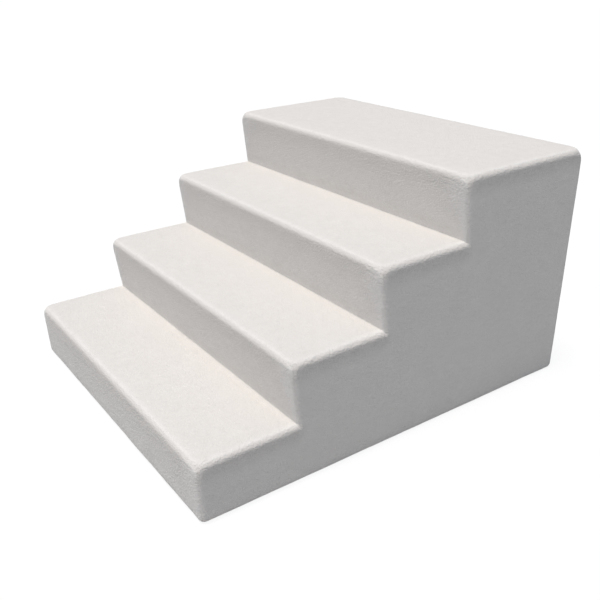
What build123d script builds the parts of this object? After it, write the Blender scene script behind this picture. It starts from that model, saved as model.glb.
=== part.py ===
"""Pet stairs: four foam steps in a plush cover that comes off by a zip at the back.

Frame, in millimetres: X runs across the treads, Y from the lowest riser to the back, Z up.
The origin is on the floor, at the centre of the footprint.
"""
import os

from build123d import *

os.makedirs("parts", exist_ok=True)

# ---------------------------------------------------------------- driving dimensions

# The flight, measured over the cover.
width = 640.0              # across the treads
riser_height = 100.0       # floor to first tread, then tread to tread
tread_depth = 156.0        # nose to nose
landing_depth = 260.0      # top step, from its nose to the back
step_count = 4
riser_lean = 9.0           # foot of every riser but the lowest, behind its own nose
edge_radius = 10.0         # rounding of the soft edges round treads, risers and back
bottom_radius = 9.0        # rounding of the edge on the floor

# Cover.
cover_thickness = 3.0      # plush pile and its backing
base_thickness = 2.5       # anti-slip fabric under the block
seam_beyond_edge = 3.0     # the cover runs this far under the block before the base begins
foam_clearance = 0.3       # between the foam and the inside of the cover

# Foam.
pad_thickness = 20.0       # softer foam laid on every tread

# Zip, horizontal across the back, lying in a slit between the two back panels.
zip_height = 58.0          # centre line above the floor
zip_end_margin = 29.0      # from the side of the cover to the end of the tapes
tooth_pitch = 4.0
tooth_width = 1.8
tooth_reach = 1.3          # how far a tooth passes the centre line
row_thickness = 2.6        # teeth and bead, from inside to outside
bead_inner = 2.6           # bead's near side, from the centre line
bead_width = 1.4
bead_tail = 2.0            # bead beyond the stops
tape_width = 12.0
tape_thickness = 0.6
tape_overrun = 7.0         # tape beyond the end of the slit, under the panels
rebate_depth = 1.0         # cut into the panels for the tapes, from inside
tape_clearance = 0.3
slit_overrun = 3.0         # slit beyond the end of the bead
slit_clearance = 2.7       # between the slider and the edge of the slit
groove_clearance = 0.8     # between the slider and the foam it presses back

# Zip slider.
slider_length = 15.0
slider_corner = 2.2
slider_clearance = 0.3     # around the teeth, the bead and the tape
slider_wall = 1.0
wedge_length = 4.5
wedge_setback = 1.5        # from the slider's front edge
wedge_shoulder = 1.5       # from the wedge's front to its widest place
wedge_clearance = 0.4      # to each bead
notch_depth = 1.2
bridge_length = 6.4
bridge_width = 2.2
bridge_wall = 1.0
bridge_play = 0.9          # along the slide, between the pull's bar and the bridge's legs

# Zip pull.
pull_length = 32.0
pull_thickness = 1.4
pull_neck = 6.4            # width at the slider
pull_width = 8.4           # width at the grip
pull_corner = 2.8
pull_gap = 0.3             # under the pull and around its bar
eye_side_gap = 0.5         # each side of the bridge
eye_end_gap = 1.4          # past the end of the bridge
eye_rim = 4.6              # straight sides of the pull beyond the eye
rib_count = 4
rib_offset = 24.0          # from the bar to the middle of the ribs
rib_height = 0.3
rib_width = 0.8
rib_pitch = 2.4

# Stops at the ends of the chain.
stop_length = 3.0
stop_wall = 0.6
stop_gap = 0.5             # to the slider

# ---------------------------------------------------------------- derived sizes

total_depth = (step_count - 1) * tread_depth + landing_depth
front_face = -total_depth / 2
back_face = total_depth / 2
noses = [front_face + step * tread_depth for step in range(step_count)]
levels = [(step + 1) * riser_height for step in range(step_count)]
top_step = step_count - 1
step_overlap = step_count * riser_lean + 2 * edge_radius    # of each step, under the next
cut_margin = 5.0                    # cutting solids pass clear of what they trim

base_seam = bottom_radius + seam_beyond_edge
mitre_depth = base_seam + cut_margin        # the planes between two panels reach this far in

foam_inset = cover_thickness + foam_clearance
foam_back = back_face - foam_inset

# Zip, across: distances from its centre line, and depths inside the face of the back.
tape_near = bead_inner + bead_width
tape_far = tape_near + tape_width
tape_outer = cover_thickness - rebate_depth
tape_inner = tape_outer + tape_thickness
row_outer = (tape_outer + tape_inner - row_thickness) / 2
row_inner = row_outer + row_thickness
flange_near = tape_near + slider_clearance
slider_half_width = flange_near + slider_wall
slit_half_height = slider_half_width + slit_clearance
groove_depth = row_inner + slider_clearance + slider_wall + groove_clearance - foam_inset

# Zip, along: as many teeth as fit once both ends have their stops.
end_length = slider_clearance + wedge_length + wedge_setback + stop_gap + stop_length
tape_half_length = width / 2 - zip_end_margin
slit_half_length = tape_half_length - tape_overrun
chain_space = slit_half_length - slit_overrun - bead_tail - end_length
teeth_per_row = int((2 * chain_space - tooth_width) / tooth_pitch) + 1
last_tooth = (teeth_per_row - 1) * tooth_pitch / 2 + tooth_width / 2
bead_half_length = last_tooth + end_length + bead_tail


def riser_y(step, z, inset):
    """Where a riser's face lies at height z, moved in by inset; only the lowest is upright."""
    lean = riser_lean if step else 0
    return noses[step] + inset + lean * (levels[step] - z) / riser_height


def soft_block(inset, front, back, rim=True, free_back=False):
    """A block across the flight, between a front and a back line in Y and Z, bottom first.

    Its front uprights are rounded, and its top edges and its back unless they lie inside.
    """
    with BuildPart() as block:
        with BuildSketch(Plane.YZ):
            with BuildLine():
                Polyline(*front, *reversed(back), close=True)
            make_face()
        extrude(amount=width / 2 - inset, both=True)
        # Of a face's four edges sorted by height, the middle two are its uprights.
        soft_edges = block.faces().sort_by(Axis.Y)[0].edges().sort_by(Axis.Z)[1:3]
        if free_back:
            soft_edges += block.faces().sort_by(Axis.Y)[-1].edges().sort_by(Axis.Z)[1:3]
        if rim:
            top_edges = block.faces().sort_by(Axis.Z)[-1].edges().sort_by(Axis.Y)
            soft_edges += top_edges if free_back else top_edges[:-1]
        fillet(soft_edges, edge_radius - inset)
    return block.part


def riser_line(step, bottom, top, inset):
    """The face of a riser between two heights, as its two ends in Y and Z."""
    return [(riser_y(step, z, inset), z) for z in (bottom, top)]


def flight(floor, inset):
    """The whole outline as one solid standing at floor, its faces moved in by inset."""
    steps = []
    for step in range(step_count):
        is_top = step == top_step
        top = levels[step] - inset
        back = back_face - inset if is_top else noses[step + 1] + inset + step_overlap
        front = riser_line(step, floor, top, inset)
        steps.append(soft_block(inset, front, [(back, floor), (back, top)], free_back=is_top))
    with BuildPart() as outline:
        add(steps)
        fillet(outline.faces().sort_by(Axis.Z)[0].edges(), bottom_radius - inset)
    return outline.part


def prism(*corners):
    """A cutting solid across the whole width, from its corners in Y and Z."""
    with BuildPart() as cutter:
        with BuildSketch(Plane.YZ):
            with BuildLine():
                Polyline(*corners, close=True)
            make_face()
        extrude(amount=width / 2 + cut_margin, both=True)
    return cutter.part


def finish(part, name):
    """Label a finished piece and write it out."""
    part.label = name
    export_step(part, f"parts/{name}.step")
    print(f"{name:18s} {len(part.solids())} solid(s) {part.volume / 1000:10.2f} cm3")


# ---------------------------------------------------------------- foam block

# Slabs glued one on another, each a tread shorter than the one below, and a softer pad
# on every tread, against the face of the next slab.
for step, name in enumerate(["base_slab", "second_slab", "third_slab", "top_slab"]):
    is_top = step == top_step
    pad_top = levels[step] - foam_inset
    slab_top = pad_top - pad_thickness
    slab_bottom = slab_top - riser_height if step else base_thickness
    with BuildPart() as slab:
        add(soft_block(foam_inset, riser_line(step, slab_bottom, slab_top, foam_inset),
                       [(foam_back, slab_bottom), (foam_back, slab_top)],
                       rim=False, free_back=True))
        if step == 0:
            fillet(slab.faces().sort_by(Axis.Z)[0].edges(), bottom_radius - foam_inset)
        if slab_bottom < zip_height + slit_half_height and slab_top > zip_height - slit_half_height:
            # The closed zip presses a shallow groove into the foam behind it.
            with BuildSketch(Plane.XZ.offset(-foam_back)):
                with Locations((0, zip_height)):
                    Rectangle(2 * slit_half_length, 2 * slit_half_height)
            extrude(amount=groove_depth, mode=Mode.SUBTRACT)
    finish(slab.part, name)

    pad_back = [(foam_back, slab_top), (foam_back, pad_top)]
    if not is_top:
        pad_back = riser_line(step + 1, slab_top, pad_top, foam_inset)
    pad = soft_block(foam_inset, riser_line(step, slab_top, pad_top, foam_inset), pad_back,
                     free_back=is_top)
    finish(pad, f"tread_pad_{step + 1}")

# ---------------------------------------------------------------- cover


def profile(inset):
    """Corners of the flight from the side, its faces moved in by inset, open at the floor."""
    corners = [(riser_y(0, 0, inset), -cut_margin)]
    for step in range(step_count):
        top = levels[step] - inset
        corners.append((riser_y(step, top, inset), top))
        if step < top_step:
            corners.append((riser_y(step + 1, top, inset), top))
    corners.append((back_face - inset, levels[top_step] - inset))
    corners.append((back_face - inset, -cut_margin))
    return corners


def side_wedge(side):
    """All that belongs to one side panel, up to the planes it shares with its neighbours."""
    with BuildPart() as wedge:
        for inset in (-cut_margin, mitre_depth):
            with BuildSketch(Plane.YZ.offset(side * (width / 2 - inset))):
                with BuildLine():
                    Polyline(*profile(inset), close=True)
                make_face()
        loft(ruled=True)
    return wedge.part


# The base is one flat piece of anti-slip fabric, sewn to the cover where that turns under.
with BuildPart() as base_panel:
    with BuildSketch():
        RectangleRounded(width - 2 * base_seam, total_depth - 2 * base_seam, edge_radius)
    extrude(amount=base_thickness)
finish(base_panel.part, "base_panel")

with BuildPart() as cover:
    add(flight(0, 0))
    add(flight(base_thickness, cover_thickness), mode=Mode.SUBTRACT)
    add(base_panel.part, mode=Mode.SUBTRACT)

# Side panels follow the profile; every panel meets its neighbours on the edge between them,
# where the pile hides the seam, and the ones on the floor turn under to the base.
side_wedges = {"side_panel_left": side_wedge(-1), "side_panel_right": side_wedge(1)}
for name, wedge in side_wedges.items():
    with BuildPart() as side_panel:
        add(cover.part)
        add(wedge, mode=Mode.INTERSECT)
    finish(side_panel.part, name)

with BuildPart() as middle:
    add(cover.part)
    add(list(side_wedges.values()), mode=Mode.SUBTRACT)

# Every riser panel stands on the tread panel below it, which runs on behind its foot.
outside, inside = profile(-cut_margin), profile(mitre_depth)
for step in range(step_count):
    top = levels[step]
    nose_outside, nose_inside = outside[2 * step + 1], inside[2 * step + 1]
    foot = levels[step - 1] if step else -cut_margin
    riser_cut = prism((riser_y(step, foot, -cut_margin), foot), nose_outside, nose_inside,
                      (riser_y(step, foot, mitre_depth), foot))
    if step < top_step:
        reach = riser_y(step + 1, top, mitre_depth)
        tread_end = [(reach, top - mitre_depth), (reach, top)]
    else:
        tread_end = [inside[-2], (back_face, top)]
    tread_cut = prism((noses[step], top), nose_inside, *tread_end)
    for name, cutter in [("riser_panel", riser_cut), ("tread_panel", tread_cut)]:
        with BuildPart() as panel:
            add(middle.part)
            add(cutter, mode=Mode.INTERSECT)
        finish(panel.part, f"{name}_{step + 1}")


# The back is two panels that meet at the zip's centre line; a slit between them shows the
# chain, and a rebate inside them takes the tapes.
def back_plane(depth):
    """Plane parallel to the back, depth inside its face, on the zip's centre line."""
    return Plane(origin=(0, back_face - depth, zip_height), x_dir=(-1, 0, 0), z_dir=(0, 1, 0))


back_cut = prism(outside[-1], outside[-2], inside[-2], inside[-1])
back_front = back_face - mitre_depth
back_rear = back_face + cut_margin
for name, bottom, top in [("back_panel_lower", -cut_margin, zip_height),
                          ("back_panel_upper", zip_height, levels[top_step])]:
    with BuildPart() as back_panel:
        add(middle.part)
        add(back_cut, mode=Mode.INTERSECT)
        add(prism((back_front, bottom), (back_front, top), (back_rear, top),
                  (back_rear, bottom)), mode=Mode.INTERSECT)
        with BuildSketch(back_plane(cover_thickness)):
            Rectangle(2 * slit_half_length, 2 * slit_half_height)
        extrude(amount=cover_thickness, mode=Mode.SUBTRACT)
        with BuildSketch(back_plane(cover_thickness)):
            Rectangle(2 * (tape_half_length + tape_clearance), 2 * (tape_far + tape_clearance))
        extrude(amount=rebate_depth, mode=Mode.SUBTRACT)
    finish(back_panel.part, name)

# ---------------------------------------------------------------- zip

# Each half has a tape, a bead along its edge and teeth that mesh with the other half's.
for name, side, teeth in [("upper", 1, teeth_per_row), ("lower", -1, teeth_per_row - 1)]:
    with BuildPart() as tape:
        with BuildSketch(back_plane(tape_inner)):
            with Locations((0, side * (tape_near + tape_far) / 2)):
                Rectangle(2 * tape_half_length, tape_width)
        extrude(amount=tape_thickness)
    finish(tape.part, f"zip_tape_{name}")

    tooth_length = bead_inner + tooth_reach
    with BuildPart() as row:
        with BuildSketch(back_plane(row_inner)):
            with Locations((0, side * (bead_inner + bead_width / 2))):
                Rectangle(2 * bead_half_length, bead_width)
            with Locations((0, side * (tooth_length / 2 - tooth_reach))):
                with GridLocations(tooth_pitch, tooth_length, teeth, 1):
                    Rectangle(tooth_width, tooth_length)
        extrude(amount=row_thickness)
    finish(row.part, f"zip_teeth_{name}")

# ---------------------------------------------------------------- zip slider

# The slider rests at the closed end, +X, with its wedge just past the last teeth.
slider_front = last_tooth + slider_clearance + wedge_length + wedge_setback
slider_rear = slider_front - slider_length
slider_middle = (slider_front + slider_rear) / 2
plate_outer_depth = row_outer - slider_clearance      # inside face of the outer plate
plate_inner_depth = row_inner + slider_clearance      # outside face of the inner plate
wedge_half_width = bead_inner - wedge_clearance
plate_face = plate_outer_depth - slider_wall          # outside face of the outer plate
bar_radius = pull_thickness / 2
bar_depth = plate_face - pull_gap - bar_radius
bridge_window_depth = bar_depth - bar_radius - pull_gap
bridge_window_half = bar_radius + bridge_play

with BuildPart() as slider:
    # Two plates with the same rounded outline, notched at the front.
    for plate_depth in (plate_outer_depth, plate_inner_depth + slider_wall):
        with BuildSketch(back_plane(plate_depth)) as plate_outline:
            with Locations((-slider_middle, 0)):
                RectangleRounded(slider_length, 2 * slider_half_width, slider_corner)
            with BuildLine():
                Polyline((-slider_front, wedge_half_width), (-slider_front, -wedge_half_width),
                         (-slider_front + notch_depth, 0), close=True)
            make_face(mode=Mode.SUBTRACT)
        extrude(amount=slider_wall)
    # Flanges turned in from both plates, leaving a slot for the tapes.
    flange_length = slider_length - 2 * slider_corner
    tape_slot_outer = tape_outer - slider_clearance
    tape_slot_inner = tape_inner + slider_clearance
    for low, high in [(tape_slot_outer, plate_outer_depth), (plate_inner_depth, tape_slot_inner)]:
        with BuildSketch(back_plane(low)):
            for side in (1, -1):
                with Locations((-slider_middle, side * (flange_near + slider_half_width) / 2)):
                    Rectangle(flange_length, slider_wall)
        extrude(amount=low - high)
    # Wedge that parts the teeth, blunt at the front and pointed at the rear.
    wedge_front = slider_front - wedge_setback
    wedge_rear = wedge_front - wedge_length
    with BuildSketch(back_plane(plate_inner_depth)):
        with BuildLine():
            Polyline((-wedge_front, wedge_half_width / 2),
                     (-wedge_front + wedge_shoulder, wedge_half_width), (-wedge_rear, 0),
                     (-wedge_front + wedge_shoulder, -wedge_half_width),
                     (-wedge_front, -wedge_half_width / 2), close=True)
        make_face()
    extrude(amount=plate_inner_depth - plate_outer_depth)
    # Bridge over the pull's bar.
    bridge_top = bridge_window_depth - bridge_wall
    with BuildSketch(Plane.XY.offset(zip_height)):
        with BuildLine():
            Polyline((slider_middle - bridge_length / 2, back_face - plate_face),
                     (slider_middle - bridge_length / 2 + bridge_wall, back_face - bridge_top),
                     (slider_middle + bridge_length / 2 - bridge_wall, back_face - bridge_top),
                     (slider_middle + bridge_length / 2, back_face - plate_face), close=True)
        make_face()
        with Locations((slider_middle, back_face - (plate_face + bridge_window_depth) / 2)):
            Rectangle(2 * bridge_window_half, plate_face - bridge_window_depth, mode=Mode.SUBTRACT)
    extrude(amount=bridge_width / 2, both=True)
finish(slider.part, "zip_slider")

# The pull hangs on its bar under the bridge, and lies back over the closed chain.
eye_half_width = bridge_width / 2 + eye_side_gap
eye_length = bridge_length / 2 + eye_end_gap
neck_length = eye_length + eye_rim
with BuildPart() as pull:
    with BuildSketch(back_plane(bar_depth + bar_radius)):
        with BuildLine():
            Polyline((-slider_middle, pull_neck / 2),
                     (-slider_middle + neck_length, pull_neck / 2),
                     (-slider_middle + pull_length / 2, pull_width / 2),
                     (-slider_middle + pull_length, pull_width / 2),
                     (-slider_middle + pull_length, -pull_width / 2),
                     (-slider_middle + pull_length / 2, -pull_width / 2),
                     (-slider_middle + neck_length, -pull_neck / 2),
                     (-slider_middle, -pull_neck / 2), close=True)
        make_face()
        with Locations((-slider_middle + eye_length / 2, 0)):
            Rectangle(eye_length, 2 * eye_half_width, mode=Mode.SUBTRACT)
    extrude(amount=pull_thickness)
    grip_corners = pull.edges().filter_by(Axis.Y).group_by(Axis.X)[0]
    fillet(grip_corners, pull_corner)
    with BuildSketch(Plane.XY.offset(zip_height)):
        with Locations((slider_middle, back_face - bar_depth)):
            Circle(bar_radius)
    extrude(amount=pull_neck / 2, both=True)
    with BuildSketch(back_plane(bar_depth - bar_radius)):
        with Locations((-slider_middle + rib_offset, 0)):
            with GridLocations(rib_pitch, 1, rib_count, 1):
                Rectangle(rib_width, pull_neck)
    extrude(amount=rib_height)
finish(pull.part, "zip_pull")

# ---------------------------------------------------------------- zip stops


def stop_clamp(stop_start, near, far):
    """A clamp pressed round the bead between two distances from the centre line."""
    with BuildPart() as clamp:
        with BuildSketch(back_plane(row_inner + stop_wall)):
            with Locations((-(stop_start + stop_length / 2), (near + far) / 2)):
                Rectangle(stop_length, abs(far - near))
        extrude(amount=row_thickness + 2 * stop_wall)
        for side in (1, -1):
            with BuildSketch(back_plane(row_inner)):
                with Locations((0, side * (bead_inner + bead_width / 2))):
                    Rectangle(2 * bead_half_length, bead_width)
            extrude(amount=row_thickness, mode=Mode.SUBTRACT)
            with BuildSketch(back_plane(tape_inner)):
                with Locations((0, side * (tape_near + tape_far) / 2)):
                    Rectangle(2 * tape_half_length, tape_width)
            extrude(amount=tape_thickness, mode=Mode.SUBTRACT)
    return clamp.part


top_stop_start = slider_front + stop_gap
stop_near = bead_inner - stop_wall
stop_far = tape_near + stop_wall
with BuildPart() as top_stops:
    add(stop_clamp(top_stop_start, stop_near, stop_far))
    add(stop_clamp(top_stop_start, -stop_far, -stop_near))
finish(top_stops.part, "zip_top_stops")

bottom_stop_start = -last_tooth - stop_length - slider_clearance
bottom_stop = stop_clamp(bottom_stop_start, -stop_far, stop_far)
finish(bottom_stop, "zip_bottom_stop")

slider_travel = slider_rear - (bottom_stop_start + stop_length + stop_gap)
print(f"slider travel {slider_travel:.2f}, pull bar at x {slider_middle:.2f},"
      f" y {back_face - bar_depth:.2f}, z {zip_height:.2f}")
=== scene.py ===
# %% [markdown]
# # Foam pet stairs in a plush cover
# The stairs are a block of glued foam with a softer pad on every tread, inside a sewn plush cover
# that comes off by a zip at the back. The construction arrives as a fixed frame of named solids.
# This lesson gives it its looks: the sewn panels with their soft rounded edges, the pile, the foam,
# the anti-slip base and the finish of the zip.

# %% Load the fixed frame
import math

import bmesh
import bpy
import numpy as np
from mathutils import Matrix, Vector, noise
from mathutils.kdtree import KDTree


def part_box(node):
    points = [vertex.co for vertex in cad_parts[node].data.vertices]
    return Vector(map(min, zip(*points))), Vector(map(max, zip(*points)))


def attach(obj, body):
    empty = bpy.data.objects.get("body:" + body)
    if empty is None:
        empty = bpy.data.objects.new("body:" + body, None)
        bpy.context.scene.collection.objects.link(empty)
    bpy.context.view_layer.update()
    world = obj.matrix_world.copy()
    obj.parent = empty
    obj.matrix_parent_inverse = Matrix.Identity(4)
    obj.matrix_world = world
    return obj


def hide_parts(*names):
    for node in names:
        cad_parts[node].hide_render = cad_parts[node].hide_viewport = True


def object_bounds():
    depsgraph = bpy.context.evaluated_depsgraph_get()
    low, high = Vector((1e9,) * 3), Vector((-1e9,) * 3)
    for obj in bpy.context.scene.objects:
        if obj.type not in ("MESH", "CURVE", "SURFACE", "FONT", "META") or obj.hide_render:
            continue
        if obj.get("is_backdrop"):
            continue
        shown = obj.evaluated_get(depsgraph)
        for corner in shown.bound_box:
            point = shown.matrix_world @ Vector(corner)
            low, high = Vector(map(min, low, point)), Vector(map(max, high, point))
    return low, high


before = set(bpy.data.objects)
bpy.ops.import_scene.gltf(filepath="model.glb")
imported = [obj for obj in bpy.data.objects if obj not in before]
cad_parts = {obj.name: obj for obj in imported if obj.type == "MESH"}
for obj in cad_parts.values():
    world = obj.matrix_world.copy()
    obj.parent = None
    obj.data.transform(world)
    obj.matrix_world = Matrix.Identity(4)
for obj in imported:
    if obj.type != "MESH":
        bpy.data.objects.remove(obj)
cad_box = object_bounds()

# %% [markdown]
# ## Sizes that the panels share
# Every panel takes its place from the solids it stands for, so the outer faces, the tread levels and
# the seam under the block are read from the frame. What a solid's box can't say is written here: how
# deep a tread is, how far a riser leans back at its foot, how round the edges are and how thick the
# plush is. The foam stands a little inside the plush.

# %% Read the flight's sizes
STEP_COUNT = 4
TREAD_DEPTH = 0.156
RISER_LEAN = 0.009
EDGE_RADIUS = 0.010
PANEL_THICKNESS = 0.0026
FOAM_GAP = 0.0033

TOP = STEP_COUNT - 1
front = cad_box[0][1]
back = -front
half_width = cad_box[1][0]
noses = [front + step * TREAD_DEPTH for step in range(STEP_COUNT)]
levels = [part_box(f"tread_panel_{step + 1}")[1].z for step in range(STEP_COUNT)]
rise = levels[0]
base_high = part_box("base_panel")[1]
base_seam = half_width - base_high.x
print(f"width {2 * half_width:.3f} m, base seam {base_seam:.4f} m in")
print("noses at", [round(nose, 3) for nose in noses])

# %% [markdown]
# ## Shader maths as Python
# A finish is easier to read as a formula than as a tree of nodes. This small class wraps one output
# socket. Adding a number or another socket to it, or multiplying it by one, adds the Math node that
# does it. `node` adds any other node from its type, its settings and its sockets' values or links.


# %% A socket that takes part in expressions
class Field:
    """A number, colour or vector that varies over a surface."""

    def __init__(self, tree, output=None):
        self.tree = tree
        self.output = output

    def node(self, kind, settings=None, inputs=None, output=0):
        """Add a node: its settings first, then what each input holds or is linked to."""
        made = self.tree.nodes.new(kind)
        for setting, value in (settings or {}).items():
            setattr(made, setting, value)
        for name, value in (inputs or {}).items():
            if isinstance(value, Field):
                self.tree.links.new(value.output, made.inputs[name])
            else:
                made.inputs[name].default_value = value
        return Field(self.tree, made.outputs[output])

    def math(self, operation, first, second=0.0, clamp=False):
        settings = {"operation": operation, "use_clamp": clamp}
        return self.node("ShaderNodeMath", settings, {0: first, 1: second})

    def __add__(self, other):
        return self.math("ADD", self, other)

    def __mul__(self, other):
        return self.math("MULTIPLY", self, other)

    def __sub__(self, other):
        return self.math("SUBTRACT", self, other)

    def clamped(self):
        return self.math("ADD", self, 0.0, clamp=True)

    def stretched(self, factors):
        """A vector field with each axis scaled, so that a pattern gets longer or shorter along it."""
        return self.node("ShaderNodeVectorMath", {"operation": "MULTIPLY"}, {0: self, 1: factors})

    def noise(self, size, detail=2.0, roughness=0.5):
        """Soft noise whose lumps are about that many metres across, from 0 to 1."""
        inputs = {"Vector": self, "Scale": 1 / size, "Detail": detail, "Roughness": roughness}
        return self.node("ShaderNodeTexNoise", {"noise_dimensions": "3D"}, inputs)

    def mixed(self, first, second):
        """A colour between two others, by this field; Mix has its colour sockets at these places."""
        colour_sockets = {0: self, 6: first, 7: second}
        return self.node("ShaderNodeMix", {"data_type": "RGBA"}, colour_sockets, output=2)

    def bump(self, height, depth):
        """A bump for the Normal input: height from 0 to 1 stands for that many metres."""
        return self.node("ShaderNodeBump", {}, {"Height": height, "Distance": depth, "Strength": 1.0})


# %% A material from a recipe
def shade(red, green, blue):
    return (red, green, blue, 1.0)


def finish(name, recipe, **plain):
    """A material: plain values on the shader's own sockets, and what the recipe links."""
    material = bpy.data.materials.new(name)
    material.use_nodes = True
    tree = material.node_tree
    surface = tree.nodes["Principled BSDF"]
    for socket, value in plain.items():
        surface.inputs[socket.replace("_", " ")].default_value = value
    place = Field(tree).node("ShaderNodeTexCoord", {}, {}, "Object")
    for socket, field in recipe(place).items():
        tree.links.new(field.output, surface.inputs[socket])
    return material


# %% [markdown]
# ## The plush
# The cover is a short, dense, warm off-white pile. Seen close it has three scales: single tufts of
# two or three millimetres, small patches where the pile leans together, and broad soft clouds
# where a hand has brushed it. All three change the colour a little, and the tufts and patches lift
# the surface a little. The patches are longer sideways than upwards, the way that the pile was
# brushed. Pile scatters light, so it has almost no gloss and a faint sheen at grazing angles.
#
# The colour also holds painted light and shade: a painted highlight makes the pile paler where it
# bends over an edge, painted shade makes it darker just below one, and on a tread painted shade
# darkens it a little towards the crease. Each panel carries that as a number per point.

# %% Plush
TUFT = 0.0026
PATCH = 0.0060
BRUSHED = (0.45, 0.45, 1.0)
CLOUD = 0.045
PILE_DEPTH = 0.0028
TUFT_SHARE, PATCH_SHARE, CLOUD_SHARE = 0.25, 0.55, 0.20
TUFT_RELIEF, PATCH_RELIEF = 0.55, 0.45
DARK_BELOW, LIGHTENING = 0.30, 2.2
BARE_BELOW, RAGGEDNESS = 0.55, 2.0
PLUSH_LIGHT = shade(0.846, 0.818, 0.788)
PLUSH_DARK = shade(0.786, 0.754, 0.720)
# colours of the painted highlight on edges and of the painted shade below edges and at creases
PLUSH_PAINTED_HIGHLIGHT = shade(0.882, 0.857, 0.830)
PLUSH_PAINTED_SHADE = shade(0.650, 0.620, 0.590)


def plush_recipe(place):
    tufts = place.noise(TUFT, detail=2.0)
    patches = place.stretched(BRUSHED).noise(PATCH, detail=3.0, roughness=0.6)
    clouds = place.noise(CLOUD, detail=2.0)
    pile = (tufts * TUFT_SHARE + patches * PATCH_SHARE + clouds * CLOUD_SHARE).clamped()
    colour = ((pile - DARK_BELOW) * LIGHTENING).clamped().mixed(PLUSH_DARK, PLUSH_LIGHT)
    # painted light and shade per point: a painted highlight where positive, painted shade where
    # negative, broken up by the pile's noise
    painted_shading = place.node("ShaderNodeAttribute", {"attribute_name": "painted_shading"}, {}, "Fac")
    ragged = (patches + tufts - BARE_BELOW) * RAGGEDNESS
    colour = (painted_shading * ragged).clamped().mixed(colour, PLUSH_PAINTED_HIGHLIGHT)
    colour = (painted_shading * ragged * -1).clamped().mixed(colour, PLUSH_PAINTED_SHADE)
    lift = place.bump(patches * PATCH_RELIEF + tufts * TUFT_RELIEF, PILE_DEPTH)
    return {"Base Color": colour, "Normal": lift}


plush = finish("plush", plush_recipe, Roughness=0.92, Specular_IOR_Level=0.08, Sheen_Weight=0.12,
               Sheen_Roughness=0.55)
print("plush has", len(plush.node_tree.nodes), "nodes")

# %% [markdown]
# ## Foam, base cloth, tape, thread, plastic and metal
# The foam is hidden, but a reader who takes the cover off should find it: open cells a millimetre
# across, cream in the core and paler in the pads. The base is a plain woven cloth with rubber dots.
# The tape is a close twill. The teeth are moulded plastic, and the slider is die-cast and painted.

# %% Foam and cloths
CELL = 0.0011
WEAVE = 0.0009
WAVE_TEXTURE_PERIOD = 0.314
RIDGE_SHARE = 0.33
CELL_RELIEF, WEAVE_RELIEF = 1 / 2, 1 / 3
CELL_SHARE, WEAVE_SHARE, STAIN_SHARE = 0.8, 0.7, 0.4
FOAM_STAIN, WEAVE_STAIN = 0.020, 0.012


def foam_recipe(light, dark):
    def recipe(place):
        inputs = {"Vector": place, "Scale": 1 / CELL}
        cells = place.node("ShaderNodeTexVoronoi", {"feature": "F1"}, inputs)
        tone = cells * CELL_SHARE + place.noise(FOAM_STAIN) * STAIN_SHARE
        colour = tone.clamped().mixed(dark, light)
        return {"Base Color": colour, "Normal": place.bump(cells, CELL * CELL_RELIEF)}

    return recipe


def weave_recipe(light, dark, thread):
    """Soft ridges along each axis, of which any flat face shows two sets, crossed."""

    def recipe(place):
        ridges = []
        for direction in ("X", "Y", "Z"):
            settings = {"wave_type": "BANDS", "bands_direction": direction, "wave_profile": "SIN"}
            inputs = {"Vector": place, "Scale": WAVE_TEXTURE_PERIOD / thread}
            ridges.append(place.node("ShaderNodeTexWave", settings, inputs))
        weave = (ridges[0] + ridges[1] + ridges[2]) * RIDGE_SHARE
        tone = weave * WEAVE_SHARE + place.noise(WEAVE_STAIN) * STAIN_SHARE
        colour = tone.clamped().mixed(dark, light)
        return {"Base Color": colour, "Normal": place.bump(weave, thread * WEAVE_RELIEF)}

    return recipe


cream_foam = foam_recipe(shade(0.80, 0.76, 0.62), shade(0.66, 0.60, 0.45))
pale_foam = foam_recipe(shade(0.86, 0.85, 0.80), shade(0.74, 0.72, 0.66))
grey_weave = weave_recipe(shade(0.50, 0.49, 0.47), shade(0.36, 0.35, 0.34), WEAVE)
tape_weave = weave_recipe(shade(0.78, 0.755, 0.72), shade(0.62, 0.60, 0.57), WEAVE / 2)
thread_twist = weave_recipe(shade(0.80, 0.775, 0.74), shade(0.62, 0.60, 0.57), WEAVE / 3)

core_foam = finish("core_foam", cream_foam, Roughness=0.95)
pad_foam = finish("pad_foam", pale_foam, Roughness=0.95)
base_cloth = finish("base_cloth", grey_weave, Roughness=0.9)
tape_cloth = finish("tape_cloth", tape_weave, Roughness=0.85)
thread = finish("thread", thread_twist, Roughness=0.6)
print("foam cells", CELL * 1000, "mm, base threads", WEAVE * 1000, "mm")


# %% Plastic, rubber and metal
PLASTIC_GRAIN = 0.0008
RUBBER_GRAIN = 0.0006
PAINT_GRAIN = 0.0005
LEAST_ROUGH, ROUGH_RANGE = 0.3, 0.2
DULL_PLACE = 8
GRAIN_RELIEF = 1 / 12


def moulded_recipe(light, dark, grain):
    """A fine speckle with a very shallow relief, and smooth and dull places many grains wide."""

    def recipe(place):
        speckle = place.noise(grain, detail=3.0)
        roughness = place.noise(grain * DULL_PLACE) * ROUGH_RANGE + LEAST_ROUGH
        return {"Base Color": speckle.mixed(dark, light), "Roughness": roughness,
                "Normal": place.bump(speckle, grain * GRAIN_RELIEF)}

    return recipe


off_white = moulded_recipe(shade(0.80, 0.78, 0.74), shade(0.72, 0.70, 0.66), PLASTIC_GRAIN)
dark_grey = moulded_recipe(shade(0.30, 0.30, 0.30), shade(0.22, 0.22, 0.22), RUBBER_GRAIN)
pale_paint = moulded_recipe(shade(0.74, 0.73, 0.71), shade(0.66, 0.65, 0.63), PAINT_GRAIN)

tooth_plastic = finish("tooth_plastic", off_white)
dot_rubber = finish("dot_rubber", dark_grey)
painted_metal = finish("painted_metal", pale_paint, Metallic=0.55)
print("materials so far:", [material.name for material in bpy.data.materials])

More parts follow.
